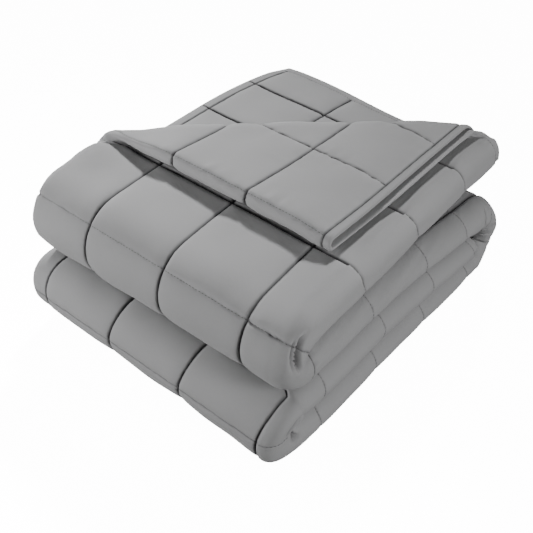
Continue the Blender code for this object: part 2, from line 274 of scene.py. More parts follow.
# %% Hems
HEM_GOOD, HEM_BACK, HEM_EDGE = 0.0034, 0.0014, 0.0005  # from the cloth's middle to its two faces
hem_u = np.zeros(M)
for name, wide in SIDE_HEMS.items():
    inside = (layer_of == name) & (col["x"] < LEFT_X + wide)
    hem_u[inside] = (LEFT_X + wide - col["x"][inside]) * HEM / wide
hem_v = np.zeros(N)
start, end = region_of == "C", region_of == "A"
hem_v[start] = np.maximum(sta["y"][start] - INNER_END_Y + HEM, 0)
hem_v[end] = np.maximum(sta["y"][end] - TOP_END_Y + HEM, 0)
into_hem = np.maximum(hem_u[None, :], hem_v[:, None])
ROUNDING = 1.6  # how far the rounded edge reaches in, in half thicknesses


def hem_half(full):
    """The hem's half thickness: flat, and rounded over in its last millimetres."""
    rest = np.clip((HEM - into_hem) / (ROUNDING * full), 0, 1)
    return HEM_EDGE + (full - HEM_EDGE) * np.sqrt(1 - (1 - rest) ** 2)


print("hem", mm(HEM), "mm wide,", mm(HEM_GOOD + HEM_BACK), "mm thick")

# %% [markdown]
# ## Where a pocket has room
# Where two layers touch, the beads lie flat. On the outside of the pile a pocket can swell. This
# cell says where that is: the top of length A, the outer faces of the round folds, and the right
# side, where the strip's own fold shows.

# %% Room to swell
TURN_RADIUS = LAYER + TURN_SPACE / 2
TURN_LENGTH = math.pi * TURN_RADIUS
TURN_OFFSET = TOP_END_Y - TIP_X - TURN_LENGTH / math.sqrt(2)
PAIR_Z = HEIGHTS["A"] + LAYER


def smooth(value, low, high):
    share = np.clip((value - low) / (high - low), 0, 1)
    return share * share * (3 - 2 * share)


def is_layer(*names):
    return np.isin(layer_of, names)[None, :]


def in_region(*names):
    return np.isin(region_of, names)[:, None]


sta_y, col_x = sta["y"][:, None], col["x"][None, :]
across_turn = (sta_y - col_x - TURN_OFFSET) / math.sqrt(2)
bared = smooth(across_turn, 0.0, 0.02)
outside = (in_region("A", "BA") & is_layer("a")) | (in_region("CD", "DB") & is_layer("d"))
room = np.where(outside, 1.0, np.where(in_region("A") & is_layer("b", "c"), bared, 0))
ON_WRAP, ON_LEFT_FOLD, BESIDE_WRAP = 0.4, 0.6, 0.35
room = np.where(is_layer("wrap"), ON_WRAP, room)
room = np.where(is_layer("left fold"), ON_LEFT_FOLD, room)
beside_wrap = smooth(col_x, 0.150, 0.168)
room = np.where(is_layer("a", "d") & (room == 0), BESIDE_WRAP * beside_wrap, room)
print("share of the cloth with room to swell:", round(float((room > 0).mean()), 2))

# %% Ripples, from a sum of waves with a fixed seed
def ripples(x, y, lengths, count, seed):
    """Soft unevenness of about unit size, with waves of the given shortest and longest length."""
    rng = np.random.default_rng(seed)
    total = np.zeros(np.broadcast(x, y).shape)
    for _ in range(count):
        wave = 2 * math.pi / rng.uniform(*lengths)
        angle, phase = rng.uniform(0, 2 * math.pi, 2)
        total += np.sin(wave * (x * math.cos(angle) + y * math.sin(angle)) + phase)
    return total / math.sqrt(count / 2)


u_grid, v_grid = np.broadcast_to(u[None, :], (N, M)), along
print("the cloth as a grid:", M, "by", N, "points")

# %% [markdown]
# ## Seams
# A seam along the strip was sewn in one straight run, so it is a crisp line. A seam across it was
# sewn through pockets that were filled already: it wanders a little, and the cloth puckers on both
# sides of it. Where the cloth is pulled over a fold, a seam nearly vanishes. A table holds how
# strongly each one shows, and the same numbers make the groove and the painted shade along it.

# %% How strongly each seam shows
Look = namedtuple("Look", "depth ragged")
FAINT, THIN, CRISP = Look(0.25, 1.0), Look(0.70, 0.4), Look(1.10, 0.15)
ROUGH, VALLEY = Look(0.85, 0.9), Look(1.60, 0.15)
ALONG_LOOKS = {"a": CRISP, "b": ROUGH, "c": VALLEY, "d": CRISP, "left fold": FAINT}
ACROSS_LOOKS = {"outer": {"A": CRISP, "BA": FAINT, "CD": THIN}, "b": {"A": CRISP}, "c": {"A": VALLEY}}
HEM_LINE = round(TOP_HEM_LINE, 4)
SINGLE_LOOKS = {
    ("b", "A", -0.121): FAINT,
    ("b", "A", HEM_LINE): CRISP,
    ("c", "A", HEM_LINE): FAINT,
    ("outer", "A", HEM_LINE): THIN,
}
SIDE_HEM_DEPTH, WRAP_DEPTH, WRAP_ROUGH, HEM_FADE = 0.9, 0.6, 0.60, 0.002


def looks(chosen, nearest):
    """Depth and raggedness, as two arrays, of the numbered looks."""
    table = np.array([(look.depth, look.ragged) for look in chosen])
    return table[nearest, 0], table[nearest, 1]


depth_u, rough_u = looks([ALONG_LOOKS[layer_of[j]] for j in np.flatnonzero(col_line)], line_u_number)
depth_u = np.where(hem_u > 0, SIDE_HEM_DEPTH, depth_u)[None, :] * (1 - smooth(hem_v, 0, HEM_FADE))[:, None]
depth_v, rough_v = np.zeros((N, M)), np.zeros((N, M))
for family in ("outer", "b", "c"):
    chosen = np.flatnonzero(family_of == family)
    names = [(family, region_of[i], round(float(sta["y"][i]), 4)) for i in np.flatnonzero(sta_line[family])]
    table = [SINGLE_LOOKS.get(name, ACROSS_LOOKS[family].get(name[1], THIN)) for name in names]
    depth_v[:, chosen], rough_v[:, chosen] = looks(table, line_v[:, chosen])
at_right = smooth(col_x, 0.080, 0.165)  # a faint seam grows clear towards the right end
faint = (depth_v == FAINT.depth) & (family_of == "outer")[None, :]
depth_v = np.where(faint, FAINT.depth + (CRISP.depth - FAINT.depth) * at_right, depth_v)
rough_v = np.where(is_layer("wrap"), WRAP_ROUGH, rough_v)
depth_v = np.where(is_layer("wrap"), WRAP_DEPTH, 1.0) * depth_v
print("seams across:", {family: int(sta_line[family].sum()) for family in sta_line})
print("seams along:", int(col_line.sum()))

# %% Thickness of the pockets
SEAM_DEPTH, SEAM_RISE = 0.0019, 0.0055  # the round dip of the pocket towards its seam
GROOVE, GROOVE_WIDTH = 0.0016, 0.0009  # the narrow groove at the thread
CROWN, UNEVEN, PUCKER, WANDER = 0.0012, 0.0005, 0.0006, 0.0005
HALF_SQUARE, WAVES = 0.055, 12
crown_u, crown_v = (np.sin(math.pi / 2 * np.clip(gap / HALF_SQUARE, 0, 1)) for gap in (to_u, to_v))
crown = crown_u * crown_v
dip_u, dip_v = np.exp(-to_u / SEAM_RISE), np.exp(-to_v / SEAM_RISE)


def thread_line(gap, along_it, beside_it, rough, seed):
    """The narrow line of the thread: 1 on it, thinner and thicker by turns where it is ragged."""
    wander = WANDER * rough * ripples(along_it, beside_it * 0.2, (0.008, 0.02), WAVES, seed)
    gaps_in_it = ripples(along_it * 1.3, beside_it * 0.1, (0.009, 0.022), WAVES, seed + 1)
    strength = 1 - rough * np.clip(0.40 + 0.45 * gaps_in_it, 0, 0.9)
    return strength * np.exp(-((gap + wander) / GROOVE_WIDTH) ** 2)


line_u = thread_line(from_u, v_grid, u_grid, rough_u, 11)
line_across = thread_line(from_v, u_grid, v_grid, rough_v, 4)
uneven = UNEVEN * room * (1 - dip_u) * (1 - dip_v) * ripples(u_grid, v_grid, (0.05, 0.12), 14, 3)
half = FULL + CROWN * crown * room + uneven
dip = SEAM_DEPTH * np.maximum(depth_u * dip_u, depth_v * dip_v)
half -= np.where(is_layer("wrap"), ON_WRAP, 1.0) * dip
half -= GROOVE * np.maximum(depth_u * line_u, depth_v * line_across)
PUCKER_REACH, PUCKER_START, LEAST_PUCKER = 0.010, 0.002, 0.15
beside_u, beside_v = (np.exp(-gap / PUCKER_REACH) * (1 - np.exp(-gap / PUCKER_START)) for gap in (to_u, to_v))
puckers_u = ripples(v_grid, u_grid * 0.3, (0.010, 0.026), WAVES, 5)
puckers_v = ripples(u_grid, v_grid * 0.3, (0.010, 0.022), WAVES, 8)
half += PUCKER * (LEAST_PUCKER + rough_u) * beside_u * puckers_u
half += PUCKER * (LEAST_PUCKER + rough_v) * np.minimum(depth_v, 1) * beside_v * puckers_v
# Painted shade along each seam's groove: the finish mixes it into the cloth's colour.
painted_crease_shade = np.clip(np.maximum(depth_u * line_u, depth_v * line_across), 0, 1)

# %% The strip's own fold swells between the seams
SCALLOP = {"A": 0.0006, "BA": 0.0, "B": 0.0004, "CD": 0.0, "C": 0.0004, "D": 0.0004, "DB": 0.0}
SCALLOP_REACH, SCALLOP_ROUND = 0.045, 0.8
wrap_angle = np.degrees(np.arctan2(col["n"], col["x"] - RIGHT_CENTRE_X))[None, :]
under = np.where(is_layer("wrap"), smooth(wrap_angle, -88, -45) * (1 - smooth(wrap_angle, -5, 45)), 0)
swell = np.array([SCALLOP[name] for name in region_of])[:, None]
half = half + swell * under * np.sin(math.pi / 2 * np.clip(to_v / SCALLOP_REACH, 0, 1)) ** SCALLOP_ROUND

# %% The two faces of the cloth
HEM_SLOPE, HEM_STEP = 0.35, 0.004
at_hem = np.maximum(half, HEM_EDGE) + HEM_SLOPE * into_hem
half = np.where(into_hem > 0, np.minimum(hem_half(HEM_GOOD), at_hem), half)
half = np.maximum(half, HEM_EDGE)
back_half = np.where(into_hem > 0, np.minimum(hem_half(HEM_BACK), FULL), FULL)
back_half = np.minimum(back_half, FULL - (FULL - HEM_BACK) * smooth(into_hem, 0, HEM_STEP))
good = base_points(half)
back = base_points(-back_half)
print("thinnest and thickest:", mm(2 * half.min()), "and", mm(2 * half.max()), "mm")

# %% [markdown]
# ## Folding the corner and letting the pile settle
# The corner of the two top layers is turned over a diagonal as if round a rod, so no cloth is
# stretched. Then the whole pile leans and sinks a little, as it does under its own weight.

# %% Turn the corner over
# The strip's own fold lifts with the corner, its upper part most.
TURN_SHARE = np.where(is_layer("wrap", "inner fold"), np.clip(wrap_angle / 90, 0, 1), 1.0)


def turn_over(points):
    x, y, z = points[..., 0], points[..., 1], points[..., 2]
    across = (y - x - TURN_OFFSET) / math.sqrt(2) * TURN_SHARE
    above = z - PAIR_Z
    angle = np.clip(across, 0, TURN_LENGTH) / TURN_RADIUS
    on_turn = across < TURN_LENGTH
    moved = np.where(on_turn, (TURN_RADIUS - above) * np.sin(angle), TURN_LENGTH - across)
    rounded = PAIR_Z + TURN_RADIUS - (TURN_RADIUS - above) * np.cos(angle)
    height = np.where(on_turn, rounded, PAIR_Z + 2 * TURN_RADIUS - above)
    shift = (moved - across) / math.sqrt(2)
    turned = np.stack([x - shift, y + shift, height], axis=-1)
    return np.where((across > 0)[..., None], turned, points)


print("corner turned over the line where y is x +", mm(TURN_OFFSET), "mm")

# %% Let the pile settle
FAR_SKEW, LEFT_RISE, FAR_SINK = 0.030, 0.004, 0.018


def settle(points):
    """The far side sinks and drifts to the near side on the right, and the left side stands higher."""
    x, y, z = points[..., 0], points[..., 1], points[..., 2]
    across = (x - LEFT_X) / (RIGHT_X - LEFT_X)
    depth = (y - NEAR_Y["CD"]) / (FAR_Y - NEAR_Y["CD"])
    height = np.clip(z / TOP_Z, None, 1)
    rise = LEFT_RISE * (1 - 2 * across) * height**2
    sink = FAR_SINK * depth**4 * np.sin(math.pi * np.clip(height, 0, 1))
    return np.stack([x, y - FAR_SKEW * across * depth**2, z + rise - sink], axis=-1)


# %% [markdown]
# ## Where the pile leans, swells and slumps
# No folded blanket is square. Here its top stands higher in front, one end of a roll is slimmer, and
# the corners droop. A list of soft pushes does what a sculptor's brush would: each has a centre, a
# reach within which it fades out, and a shift, and it moves only the named lengths of the strip.

# %% Soft pushes
Move = namedtuple("Move", "what regions centre reach shift")
UPPER_ROLL, LOWER_ROLL = ("A", "BA", "B"), ("CD", "C", "D")
MOVES = [
    Move("the top stands higher in front", UPPER_ROLL,
         (-0.02, -0.15, 0.215), (0.40, 0.13, 0.07), (0, 0, 0.005)),
    Move("its left shoulder stands up", UPPER_ROLL,
         (-0.20, -0.135, 0.205), (0.08, 0.07, 0.05), (0, 0, 0.008)),
    Move("its left front is slimmer", UPPER_ROLL,
         (-0.20, -0.225, 0.185), (0.15, 0.07, 0.08), (0, 0.002, -0.002)),
    Move("the lower roll's left end swells", LOWER_ROLL,
         (-0.20, -0.25, 0.075), (0.07, 0.06, 0.05), (-0.006, 0, 0.002)),
    Move("its left end lies further back", LOWER_ROLL,
         (-0.25, -0.27, 0.0), (0.25, 0.10, 0.05), (0, 0.008, 0)),
    Move("its foot is drawn in", ("CD", "D"), (-0.01, -0.27, 0.010), (0.24, 0.07, 0.05), (0, 0.0045, 0)),
    Move("its right end comes nearer", LOWER_ROLL,
         (0.20, -0.27, 0.0), (0.10, 0.10, 0.06), (0.002, -0.006, 0)),
    Move("its right end is slimmer", LOWER_ROLL, (0.20, -0.235, 0.03), (0.05, 0.06, 0.08), (-0.007, 0, 0)),
    Move("its top slants to the right", ("CD",), (0.07, -0.22, 0.115), (0.32, 0.14, 0.090), (0.012, 0, 0)),
    Move("length A is narrower at the back", ("A",), (0.22, 0.22, 0.18), (0.16, 0.44, 0.10), (-0.013, 0, 0)),
    Move("its far right corner is fuller", ("A",),
         (0.17, 0.215, 0.190), (0.09, 0.09, 0.06), (0.002, 0.002, 0.005)),
    Move("length B is wider at the back", ("B", "DB", "C"),
         (0.22, 0.15, 0.10), (0.12, 0.22, 0.12), (0.010, 0, 0)),
    Move("length D is wider at the back", ("D", "DB"), (0.22, 0.10, 0.0), (0.12, 0.14, 0.06), (0.004, 0, 0)),
    Move("the far fold is rounded at its end", ("DB", "D"),
         (0.22, 0.235, 0.030), (0.06, 0.09, 0.08), (-0.010, -0.003, 0)),
    Move("its top stands up there", ("DB", "B"),
         (0.19, 0.17, 0.120), (0.13, 0.08, 0.06), (0.002, 0.002, 0.008)),
    Move("the bared layer lies higher", ("A", "B"), (-0.12, 0.12, 0.165), (0.42, 0.40, 0.055), (0, 0, 0.007)),
    Move("its far corner droops", ("A",), (-0.21, 0.24, 0.170), (0.06, 0.06, 0.05), (0.010, 0.001, -0.003)),
    Move("its far edge lies further back", ("A",),
         (-0.13, 0.235, 0.165), (0.16, 0.08, 0.05), (0.006, 0.007, 0.001)),
    Move("its left edge there swells", ("A",),
         (-0.21, 0.10, 0.170), (0.08, 0.13, 0.05), (-0.003, 0.002, 0.002)),
    Move("the tip of the turned corner hangs over", ("A",),
         (0.178, 0.205, 0.226), (0.062, 0.056, 0.040), (0.022, 0.016, -0.017)),
    Move("the turn is pinched flat at its left start", ("A",),
         (-0.170, -0.095, 0.238), (0.10, 0.08, 0.034), (0, 0, -0.013)),
]


def lean(points):
    for move in MOVES:
        gap = np.linalg.norm((points - np.array(move.centre)) / np.array(move.reach), axis=-1)
        weight = (1 - np.clip(gap, 0, 1) ** 2) ** 2 * in_region(*move.regions)
        points = points + weight[..., None] * np.array(move.shift)
    return points


print(len(MOVES), "soft pushes")

# %% The far fold slumps
SLUMP, SLUMP_DROP = 0.038, 0.003
CENTRE_X, CENTRE_Y = 0.0024, -0.0038  # the middle of the settled pile, which is the origin


def slump(points):
    """The upper half of the far fold leans over to the near side, most at its right end."""
    x, y, z = points[..., 0], points[..., 1], points[..., 2]
    across = np.clip((x - LEFT_X) / (RIGHT_X - LEFT_X), 0, 1)
    amount = (0.4 + 0.6 * across) * smooth(z, 0.015, 0.125) * smooth(y, 0.0, 0.17)
    amount = amount * in_region("B", "DB", "C", "D")
    return np.stack([x, y - SLUMP * amount, z - SLUMP_DROP * amount * smooth(y, 0.10, 0.2)], axis=-1)


print("the far fold leans over by up to", mm(SLUMP), "mm")

# %% [markdown]
# ## Slits and pleats
# Where the strip turns, its own fold is bent across, and there is too much cloth for the way round.
# On the near side it opens into slits between the layers, and on the far side it gathers in short
# pleats. A cloth simulation would put them where it likes. Here each has its place, as an angle round
# the strip's fold and one round the turn. A real slit goes in between the layers and is nearly black.
# These are only dents, so `dark` says how much shade the finish paints into them, slits and pleats alike.

# %% Creases where the strip's own fold is crowded
# Angles and the width are in degrees, the depth is in metres, and dark is how much shade is painted in.
Crease = namedtuple("Crease", "what region low high angle slope depth width dark")
ALONG = [
    Crease("slit beside the outer layer", "BA", 84, 160, 23, 0.55, 0.019, 4.2, 1.0),
    Crease("slit beside the inner layer", "BA", 92, 150, 37, 0.55, 0.011, 3.8, 0.8),
    Crease("dark eye", "CD", 120, 185, 30, -0.5, 0.022, 8.0, 0.9),
    Crease("edge of the leaf over it", "CD", 5, 90, -8, 0.2, 0.007, 6.0, 0.2),
]
# A pleat's dark is how much shade is painted into its fold.
Pleat = namedtuple("Pleat", "region turn low high depth width dark")  # depth and width in metres
PLEATS = [
    Pleat("DB", 125, -15, 80, 0.0060, 0.0032, 0.9),
    Pleat("DB", 62, 20, 90, 0.0050, 0.0040, 0.9),
    Pleat("DB", 100, 0, 85, 0.0040, 0.0026, 0.5),
    Pleat("DB", 168, -50, 30, 0.0040, 0.0022, 0.8),
    Pleat("DB", 76, -60, 40, 0.0040, 0.0026, 0.3),
    Pleat("DB", 52, -60, 10, 0.0030, 0.0024, 0.2),
]
FADE_ALONG, FADE_ACROSS = 25, 20  # degrees
PLEAT_RADIUS = STEP_UP + STRIP / 2
SHADE_GROWS, SHADE_NARROW = 0.8, 0.45


def within(value, low, high, fade):
    """1 from low to high, fading to 0 over a stretch inside both ends."""
    return smooth(value, low, low + fade) * (1 - smooth(value, high - fade, high))


inward, in_shade, turn = np.zeros((N, M)), np.zeros((N, M)), sta["turn"][:, None]
for crease_at in ALONG:
    window = within(turn, crease_at.low, crease_at.high, FADE_ALONG)
    middle = crease_at.angle + crease_at.slope * (turn - (crease_at.low + crease_at.high) / 2)
    line = window * np.exp(-((wrap_angle - middle) / crease_at.width) ** 2)
    line = line * in_region(crease_at.region) * is_layer("wrap")
    inward += crease_at.depth * line
    in_shade = np.maximum(in_shade, crease_at.dark * line**SHADE_GROWS)
for pleat in PLEATS:
    window = within(wrap_angle, pleat.low, pleat.high, FADE_ACROSS)
    away = np.radians(turn - pleat.turn) * PLEAT_RADIUS
    window = window * in_region(pleat.region) * is_layer("wrap")
    inward += pleat.depth * window * np.exp(-np.abs(away) / pleat.width)
    shade_width = SHADE_NARROW * pleat.width
    in_shade = np.maximum(in_shade, pleat.dark * window * np.exp(-((away / shade_width) ** 2)))
# The painted shade of the slits and pleats joins the painted shade of the seams.
painted_crease_shade = np.maximum(painted_crease_shade, in_shade)
print(len(ALONG), "slits and", len(PLEATS), "pleats, up to", mm(inward.max()), "mm deep")


def crowd(points):
    """The strip's own fold goes in, along its length or across it."""
    x = points[..., 0] - inward * np.cos(np.radians(wrap_angle))
    return np.stack([x, points[..., 1], points[..., 2]], axis=-1)


# %% The top's seams run a little askew
ASKEW, ASKEW_FROM, ASKEW_LENGTH = 0.080, -0.235, 0.125
askew = ASKEW * np.clip(sta_y - ASKEW_FROM, 0, ASKEW_LENGTH) * (in_region("A", "BA") & is_layer("a"))
askew = askew * smooth(col_x, -0.190, -0.130) * (1 - smooth(col_x, 0.135, 0.168))
askew = askew * (1 - smooth(across_turn, -0.03, 0))
print("the top's seams lie up to", mm(askew.max()), "mm askew")


# %% [markdown]
# ## The strip's own fold, on the right
# Four lengths of the strip lie on each other there, and each shows as a row of puffs. The upper part
# of a puff is full and its lower part goes in, which leaves a dark gap above the next. So the lower
# part of each fold is drawn in along a sine, from its edge down to the flat cloth.

# %% Each fold goes in below its edge
FOLD_EDGE = {"A": 0, "B": -10, "C": -28, "D": -12}  # degrees on the fold
TURN_IN = 0.0130


def turn_in(points):
    """Below its edge each fold goes in, so that it casts a shadow on the one beneath."""
    shift = np.zeros((N, M))
    for name, edge_angle in FOLD_EDGE.items():
        top, bottom = (edge_angle, -90) if name in "AD" else (-edge_angle, 90)
        share = np.clip((wrap_angle - top) / (bottom - top), 0, 1)
        away = smooth(sta_y, -0.205, -0.160) * (1 if name == "A" else 1 - smooth(sta_y, 0.130, 0.185))
        shift += TURN_IN * away * np.sin(math.pi * share) * in_region(name) * is_layer("wrap")
    moved = points.copy()
    moved[..., 0] -= shift
    return moved


print("the folds go in by up to", mm(TURN_IN), "mm")

# %% [markdown]
# ## The two hems of the turned corner
# On the turned corner the good side's hem lies on top and its fellow below it. A hem is a flat band
# without beads, so the upper one sinks and is drawn back a little. A dark gap shows between the two,
# and the lower one throws a narrow shadow on the pile.

# %% The two hems gape
HEM_BACK_BY, UPPER_SINKS, LOWER_RISES = 0.0085, 0.0045, 0.0015
HEM_LOOSE, FOLD_LOOSE = 0.060, 0.15  # how far from the hem and from the left fold the cloth gives way
fold_at, b_at = np.flatnonzero(layer_of == "left fold"), np.flatnonzero(layer_of == "b")
a_at, first_c = np.flatnonzero(layer_of == "a"), np.flatnonzero(layer_of == "c")[0]
beside_fold = a_at[np.argmin(np.abs(col["x"][a_at] - (LEFT_X + FOLD_LOOSE)))]
marks = [0, beside_fold, fold_at[0], fold_at[-1], b_at[-1], first_c, M]
upper = np.interp(np.arange(M), marks, [0, 0, 0.9, 1, 1, 0, 0])[None, :]
drawn_back = upper * HEM_BACK_BY * np.clip((sta_y - TOP_HEM_LINE) / HEM, 0, 1) * in_region("A")
near_hem = smooth(sta_y, TOP_END_Y - HEM_LOOSE, TOP_END_Y) * in_region("A") * bared
droop = near_hem * (UPPER_SINKS * upper - LOWER_RISES * (1 - upper) * is_layer("a"))
print("the upper hem is drawn back by up to", mm(HEM_BACK_BY), "mm")


# %% All the moves in their order
def all_moves(points):
    points = turn_in(points)
    points[..., 1] -= drawn_back
    points[..., 2] += droop
    lifts = (in_region("A") & is_layer("a", "left fold", "b", "wrap", "inner fold"))[..., None]
    points = crowd(np.where(lifts, turn_over(points), points))
    points = lean(slump(settle(points)))
    points[..., 0] -= askew
    points[..., 2] = np.maximum(points[..., 2], 0.0)
    return points - np.array((CENTRE_X, CENTRE_Y, 0))


good, back = all_moves(good), all_moves(back)
print("cloth box:", good.reshape(-1, 3).min(0).round(3), good.reshape(-1, 3).max(0).round(3))

# %% [markdown]
# ## The mesh
# Only the outside of the pile needs every point. Inside, where layers lie on each other, most
# points are left out, and where a fine stretch meets a coarse one the faces between them get more
# corners. The result is still one closed cloth.

# %% Which points each station keeps
SPARE = 9  # of so many hidden points one is kept
SHOWN = {"A": ("a", "b", "c"), "BA": ("a",), "CD": ("d",), "DB": ("d",)}
layer_ends = [j for j in range(1, M - 1) if layer_of[j] != layer_of[j - 1] or layer_of[j] != layer_of[j + 1]]
ALWAYS = {0, M - 1, *layer_ends, *range(0, M, SPARE)}
on_wrap = np.isin(layer_of, ("wrap", "left fold"))
BESIDE_RIGHT, BESIDE_LEFT = 0.156, -0.170
near_sides = (np.isin(layer_of, ("a", "d")) & (col["x"] > BESIDE_RIGHT)) | (col["x"] < BESIDE_LEFT)
turned_layers = np.isin(layer_of, ("a", "b", "left fold"))
BEYOND_TURN, BEFORE_TURN, BEND_MARGIN = 0.045, 0.03, 0.012


def good_columns(i):
    """The good face keeps its points wherever it isn't covered."""
    shown = np.isin(layer_of, SHOWN.get(region_of[i], ()))
    if region_of[i] == "A":
        turn_x = sta["y"][i] - TURN_OFFSET
        before_turn = col["x"] > turn_x
        of_b_and_c = ~before_turn | (col["x"] < turn_x + BEFORE_TURN)
        shown &= np.where(layer_of == "a", col["x"] > turn_x - BEYOND_TURN, of_b_and_c)
    return sorted(ALWAYS | set(np.flatnonzero(shown | on_wrap | near_sides)))


def back_columns(i):
    """The back face keeps every other point at the hems and where it is bent."""
    across = (sta["y"][i] - col["x"] - TURN_OFFSET) / math.sqrt(2)
    on_bend = (across > -BEND_MARGIN) & (across < TURN_LENGTH + BEND_MARGIN)
    bent = (region_of[i] == "A") & turned_layers & on_bend
    hem = (into_hem[i] > 0) & turned_layers
    every_other = np.arange(M) % 2 == 0
    return sorted(ALWAYS | set(np.flatnonzero((bent | hem | on_wrap) & every_other)))


GOOD = [good_columns(i) for i in range(N)]
BACK = [back_columns(i) for i in range(N)]
BACK_ROWS = [i for i in range(N) if region_of[i] == "A" or i % 3 == 0 or i == N - 1]
print("points kept:", sum(map(len, GOOD)), "seen,", sum(len(BACK[i]) for i in BACK_ROWS), "hidden")


# %% Join the points into one closed cloth
def between(side, kept, i, k):
    """Faces between station i and station k, where each keeps its own columns."""
    shared = sorted(set(kept[i]) & set(kept[k]))
    for a, b in zip(shared[:-1], shared[1:]):
        here = [(side, i, j) for j in kept[i] if a <= j <= b]
        there = [(side, k, j) for j in kept[k] if a <= j <= b]
        yield here + there[::-1] if side == "good" else there + here[::-1]


faces = []
for i in range(N - 1):
    faces += between("good", GOOD, i, i + 1)
for i, k in zip(BACK_ROWS[:-1], BACK_ROWS[1:]):
    faces += between("back", BACK, i, k)
    for j in (0, M - 1):
        corners = [("good", row, j) for row in range(i, k + 1)] + [("back", k, j), ("back", i, j)]
        faces.append(corners if j == 0 else corners[::-1])
for i in (0, N - 1):
    shared = sorted(set(GOOD[i]) & set(BACK[i]))
    for a, b in zip(shared[:-1], shared[1:]):
        seen = [("good", i, j) for j in GOOD[i] if a <= j <= b]
        corners = seen + [("back", i, j) for j in BACK[i][::-1] if a <= j <= b]
        faces.append(corners[::-1] if i == 0 else corners)

# %% The cloth's mesh, with its map and its attribute of painted shade
numbers, places, on_cloth, shade = {}, [], [], []
for corner in (corner for face in faces for corner in face):
    if corner not in numbers:
        numbers[corner] = len(places)
        side, i, j = corner
        places.append((good if side == "good" else back)[i, j])
        on_cloth.append((u_grid[i, j], v_grid[i, j]))
        shade.append(painted_crease_shade[i, j] if side == "good" else 0)


def add_object(name, data):
    made = bpy.data.objects.new(name, data)
    bpy.context.scene.collection.objects.link(made)
    return made


mesh = bpy.data.meshes.new("quilted cloth")
mesh.from_pydata(places, [], [[numbers[corner] for corner in face] for face in faces])
# This attribute carries painted shade for the seams, slits and pleats, not a colour of the cloth.
mesh.attributes.new("painted_crease_shade", "FLOAT", "POINT").data.foreach_set("value", np.array(shade, np.float32))
corner_points = np.array([loop.vertex_index for loop in mesh.loops])
mesh.uv_layers.new(name="cloth").data.foreach_set("uv", np.array(on_cloth, np.float32)[corner_points].ravel())
bm = bmesh.new()
bm.from_mesh(mesh)
open_edges = sum(not edge.is_manifold for edge in bm.edges)
if bm.calc_volume(signed=True) < 0:
    bmesh.ops.reverse_faces(bm, faces=bm.faces)
bm.to_mesh(mesh)
bm.free()
mesh.shade_smooth()
cloth = add_object("quilted_cloth", mesh)
triangles = sum(len(face.vertices) - 2 for face in mesh.polygons)
print(len(mesh.vertices), "points,", triangles, "triangles, open edges", open_edges)


# %% [markdown]
# ## Materials in Python sums
# A shader is a graph of nodes. This small class wraps a socket, so that a sum written in Python
# adds the nodes that work it out.

# %% The socket wrapper
def plug(tree, node, inputs):
    """A Sum is linked to its input, and any other value is set."""
    for key, value in inputs.items():
        if isinstance(value, Sum):
            tree.links.new(value.socket, node.inputs[key])
        else:
            node.inputs[key].default_value = value


class Sum:
    def __init__(self, tree, socket):
        self.tree, self.socket = tree, socket

    def math(self, operation, *others):
        return self.node("ShaderNodeMath", {"operation": operation}, dict(enumerate((self,) + others)))

    def node(self, kind, settings, inputs, output=0):
        made = self.tree.nodes.new(kind)
        for key, value in settings.items():
            setattr(made, key, value)
        plug(self.tree, made, inputs)
        return Sum(self.tree, made.outputs[output])

    def noise(self, scale, detail):
        return self.node("ShaderNodeTexNoise", {}, {"Vector": self, "Scale": scale, "Detail": detail})

    def bump(self, strength, distance):
        return self.node("ShaderNodeBump", {}, {"Strength": strength, "Distance": distance, "Height": self})

    def __add__(self, other):
        return self.math("ADD", other)

    def __mul__(self, other):
        return self.math("MULTIPLY", other)

    __radd__, __rmul__ = __add__, __mul__


print("a sum of sockets adds its Math nodes")

# %% [markdown]
# ## The cloth's finish
# The cover is a fine, close weave in mid grey with a soft, dull face. Three scales make it up: the
# threads, 0.6 mm apart, laid out by the cloth's own UV map so that they run with the seams; a faint
# mottle where the nap lies one way or the other; and a slow change from pocket to pocket. An image of
# cloth would show where it repeats, so all three are worked out in the nodes. The real seams are deep
# and hold dark shade. The grooves here are shallower and would be too pale, so the finish paints shade
# into them, and into the slits and pleats, by an attribute that the mesh carries.

# %% The weave
THREAD = 0.0006
GREYS = ((0.205, 0.205, 0.208, 1), (0.245, 0.245, 0.248, 1))
# The dark grey of the painted shade in the seams, slits and pleats.
PAINTED_SHADE_GREY = (0.012, 0.012, 0.013, 1)
POCKET_SCALE, NAP_SCALE = 14.0, 420.0


def new_material(name):
    """A material, and the place on the object as a Sum in its tree."""
    material = bpy.data.materials.new(name)
    material.use_nodes = True
    tree = material.node_tree
    return material, Sum(tree, tree.nodes.new("ShaderNodeTexCoord").outputs["Object"])


def set_shader(material, inputs):
    tree = material.node_tree
    plug(tree, tree.nodes["Principled BSDF"], inputs)
    return material


def blend_colours(share, first, second):
    """From the first colour to the second as the share goes from 0 to 1."""
    return share.node("ShaderNodeMix", {"data_type": "RGBA"}, {0: share, 6: first, 7: second}, 2)


def weave_height(cloth_map):
    """Warp and weft that pass over each other, as a height from 0 to 1."""
    across, along_it = (cloth_map.node("ShaderNodeSeparateXYZ", {}, {0: cloth_map}, k) for k in (0, 1))
    warp, weft = (way * (math.pi / THREAD) for way in (across, along_it))
    return 0.5 + 0.5 * warp.math("SINE") * weft.math("SINE")


